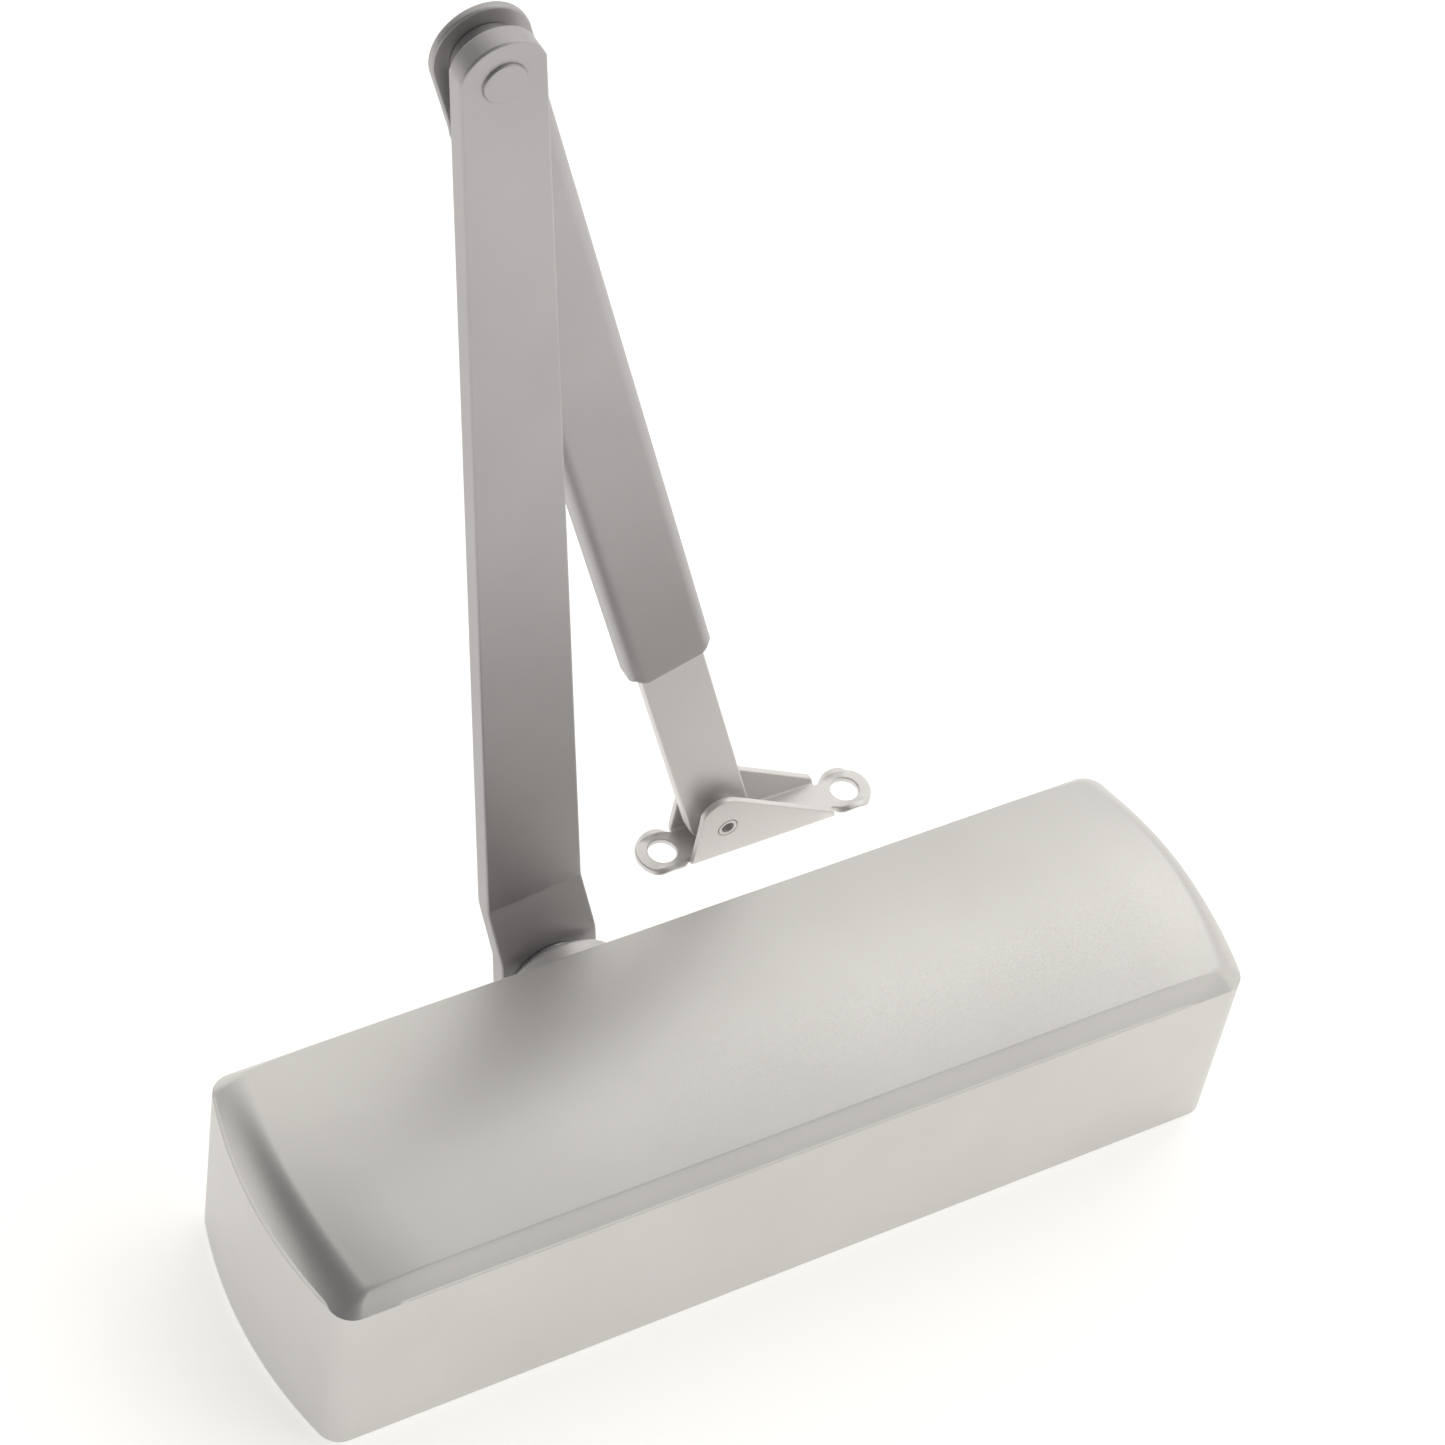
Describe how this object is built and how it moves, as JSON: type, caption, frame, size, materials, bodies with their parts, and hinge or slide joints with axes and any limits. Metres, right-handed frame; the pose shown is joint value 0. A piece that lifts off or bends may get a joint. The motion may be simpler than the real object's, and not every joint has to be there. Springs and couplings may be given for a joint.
{
  "type": "door closer",
  "caption": "Overhead rack-and-pinion door closer with a crowned box cover, main arm, telescopic forearm and frame bracket.",
  "frame": {"origin": "centre of the four-screw mounting pattern, on the back face that meets the door", "axes": "+X along the body towards its spring end, +Y along the spindle towards the arms, +Z out of the door through the front of the cover; the closer lies on its back"},
  "size_m": [0.225, 0.1052, 0.2908],
  "materials": {
    "satin_paint": "satin silver paint",
    "light_paint": "satin light silver paint",
    "cover_paint": "moulded plastic with satin silver paint",
    "cast_aluminium": "die cast, lightly blasted",
    "zinc_steel": "zinc plated",
    "hard_steel": "ground and oiled",
    "spring_steel": "blued spring steel",
    "brass": "turned",
    "bronze": "sintered bronze",
    "black_rubber": "nitrile rubber"
  },
  "bodies": {
    "closer": {"housing": "cast_aluminium", "end_lugs": "cast_aluminium", "valve_end_cap": "zinc_steel", "spring_end_cap": "zinc_steel", "end_cap_seals": "black_rubber", "oilway_plugs": "brass", "lower_bearing": "bronze", "upper_bearing": "bronze", "lower_bearing_cap": "zinc_steel", "lower_cap_seal": "black_rubber", "upper_bearing_cap": "zinc_steel", "spindle_seal": "black_rubber", "spindle_collar": "light_paint", "cover_clips": "spring_steel", "clip_screws": "zinc_steel", "closing_spring": "spring_steel", "power_screw_seal": "black_rubber"},
    "cover": {"cover": "cover_paint"},
    "arm": {"spindle": "hard_steel", "spindle_spacer": "zinc_steel", "main_arm": "satin_paint", "arm_washer": "zinc_steel", "arm_screw": "zinc_steel", "knuckle_rivet": "satin_paint", "knuckle_spacer": "satin_paint"},
    "piston": {"piston": "hard_steel", "piston_ring": "black_rubber", "check_valve_ball": "hard_steel", "check_valve_spring": "spring_steel", "check_valve_plug": "brass"},
    "seat": {"spring_seat": "zinc_steel"},
    "power_screw": {"power_screw": "zinc_steel"},
    "closing_valve": {"closing_valve": "brass", "closing_valve_seal": "black_rubber"},
    "latching_valve": {"latching_valve": "brass", "latching_valve_seal": "black_rubber"},
    "forearm": {"forearm_sleeve": "satin_paint", "clamp_studs": "zinc_steel", "clamp_washers": "zinc_steel", "clamp_nuts": "zinc_steel"},
    "bar": {"slide_bar": "light_paint"},
    "bracket": {"frame_bracket": "light_paint", "bracket_rivet": "light_paint", "bracket_washers": "zinc_steel"}
  },
  "joints": [
    {"name": "cover_lift", "type": "slide", "parent": "closer", "child": "cover", "axis": [0, 0, 1], "range_m": [0, 0.08]},
    {"name": "spindle_turn", "type": "hinge", "parent": "closer", "child": "arm", "pos_m": [-0.0195, 0, 0.0225], "axis": [0, 1, 0], "range_deg": [-80, 95]},
    {"name": "piston_slide", "type": "slide", "parent": "closer", "child": "piston", "axis": [1, 0, 0], "range_m": [-0.0126, 0.015], "deforming": ["closing_spring"]},
    {"name": "power_adjust", "type": "hinge", "parent": "closer", "child": "power_screw", "pos_m": [0.08, 0, 0.0225], "axis": [1, 0, 0], "range_deg": [-721, 721]},
    {"name": "seat_travel", "type": "slide", "parent": "closer", "child": "seat", "axis": [1, 0, 0], "range_m": [-0.003, 0.003]},
    {"name": "closing_speed", "type": "hinge", "parent": "closer", "child": "closing_valve", "pos_m": [-0.08, 0.0185, 0.0384], "axis": [1, 0, 0], "range_deg": [-180, 180]},
    {"name": "latching_speed", "type": "hinge", "parent": "closer", "child": "latching_valve", "pos_m": [-0.08, -0.0185, 0.0384], "axis": [1, 0, 0], "range_deg": [-180, 180]},
    {"name": "knuckle", "type": "hinge", "parent": "arm", "child": "forearm", "pos_m": [-0.05216, 0.061, 0.28105], "axis": [0, 1, 0], "range_deg": [-160, 30]},
    {"name": "forearm_extension", "type": "slide", "parent": "forearm", "child": "bar", "axis": [0.3173, 0, -0.9483], "range_m": [-0.015, 0.045]},
    {"name": "bracket_pivot", "type": "hinge", "parent": "bar", "child": "bracket", "pos_m": [0.03065, 0.0652, 0.03353], "axis": [0, 1, 0], "range_deg": [-70, 75]}
  ],
  "couplings": [
    {"joint": "piston_slide", "follows": "spindle_turn", "m_per_rad": 0.009},
    {"joint": "power_adjust", "follows": "seat_travel", "rad_per_m": 4188.8}
  ]
}
